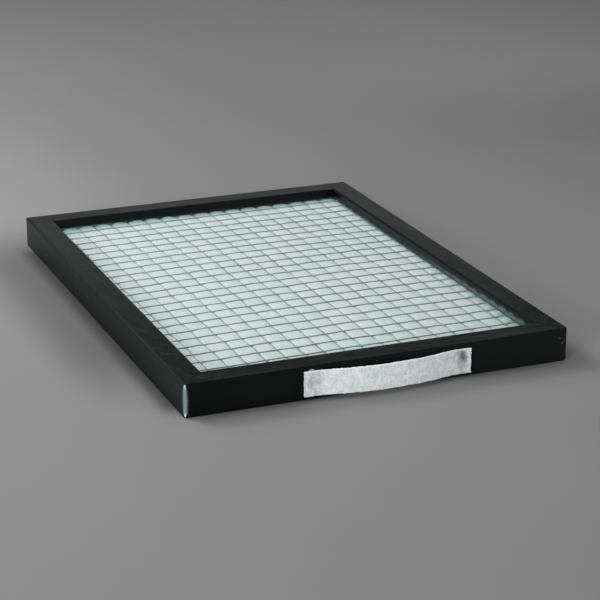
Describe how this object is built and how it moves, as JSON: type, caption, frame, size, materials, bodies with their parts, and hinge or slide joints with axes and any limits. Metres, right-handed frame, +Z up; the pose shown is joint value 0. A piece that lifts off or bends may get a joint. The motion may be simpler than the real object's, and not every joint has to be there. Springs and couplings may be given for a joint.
{
  "type": "panel air filter",
  "caption": "Flat panel air filter: fibre pad between two wire meshes in a black folded channel frame, with a felt pull strap on the front edge.",
  "frame": {"origin": "middle of the frame's underside, on the surface that the filter lies on", "axes": "+X across the filter to the right of the strap side, +Y from the strap side to the back, +Z up through the pad"},
  "size_m": [0.25, 0.3575, 0.0215],
  "materials": {
    "frame_plastic": "black extruded plastic, satin",
    "pad_fibre": "pale blue-green bonded fibre",
    "mesh_wire": "dull galvanised wire",
    "strap_felt": "white felt",
    "glue": "cloudy hot glue"
  },
  "bodies": {
    "root": {"frame_channel": "frame_plastic", "filter_pad": "pad_fibre", "upper_mesh": "mesh_wire", "lower_mesh": "mesh_wire", "pull_strap": "strap_felt", "strap_glue_left": "glue", "strap_glue_right": "glue", "joint_glue": "glue", "mitre_glue": "glue"}
  },
  "joints": []
}
